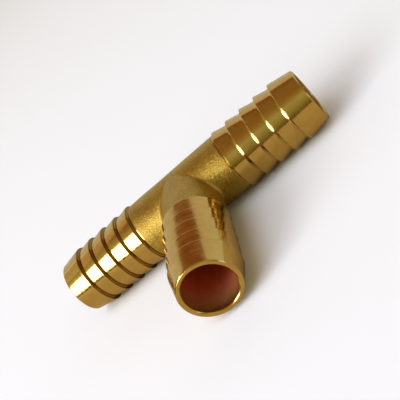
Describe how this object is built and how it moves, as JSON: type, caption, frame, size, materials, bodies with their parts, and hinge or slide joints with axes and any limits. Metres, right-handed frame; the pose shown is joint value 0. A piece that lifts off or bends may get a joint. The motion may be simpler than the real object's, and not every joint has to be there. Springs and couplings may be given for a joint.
{
  "type": "barbed tee connector",
  "caption": "Brass hose tee: a forged body with a stepped, turned barb nozzle on both ends of its run and on its branch, and bores that meet inside.",
  "frame": {"origin": "the point where the axes of the run bore and the branch bore cross", "axes": "+X along the run, -Y along the branch, +Z normal to the plane of the tee"},
  "size_m": [0.063, 0.0389, 0.0136],
  "materials": {
    "forged_brass": "satin, grainy as-forged and shot-blasted skin",
    "turned_brass": "smooth and shiny, with fine turning marks round the axis"
  },
  "bodies": {
    "root": {"forged_tee_body": "forged_brass", "left_hose_barb": "turned_brass", "right_hose_barb": "turned_brass", "branch_hose_barb": "turned_brass"}
  },
  "joints": []
}
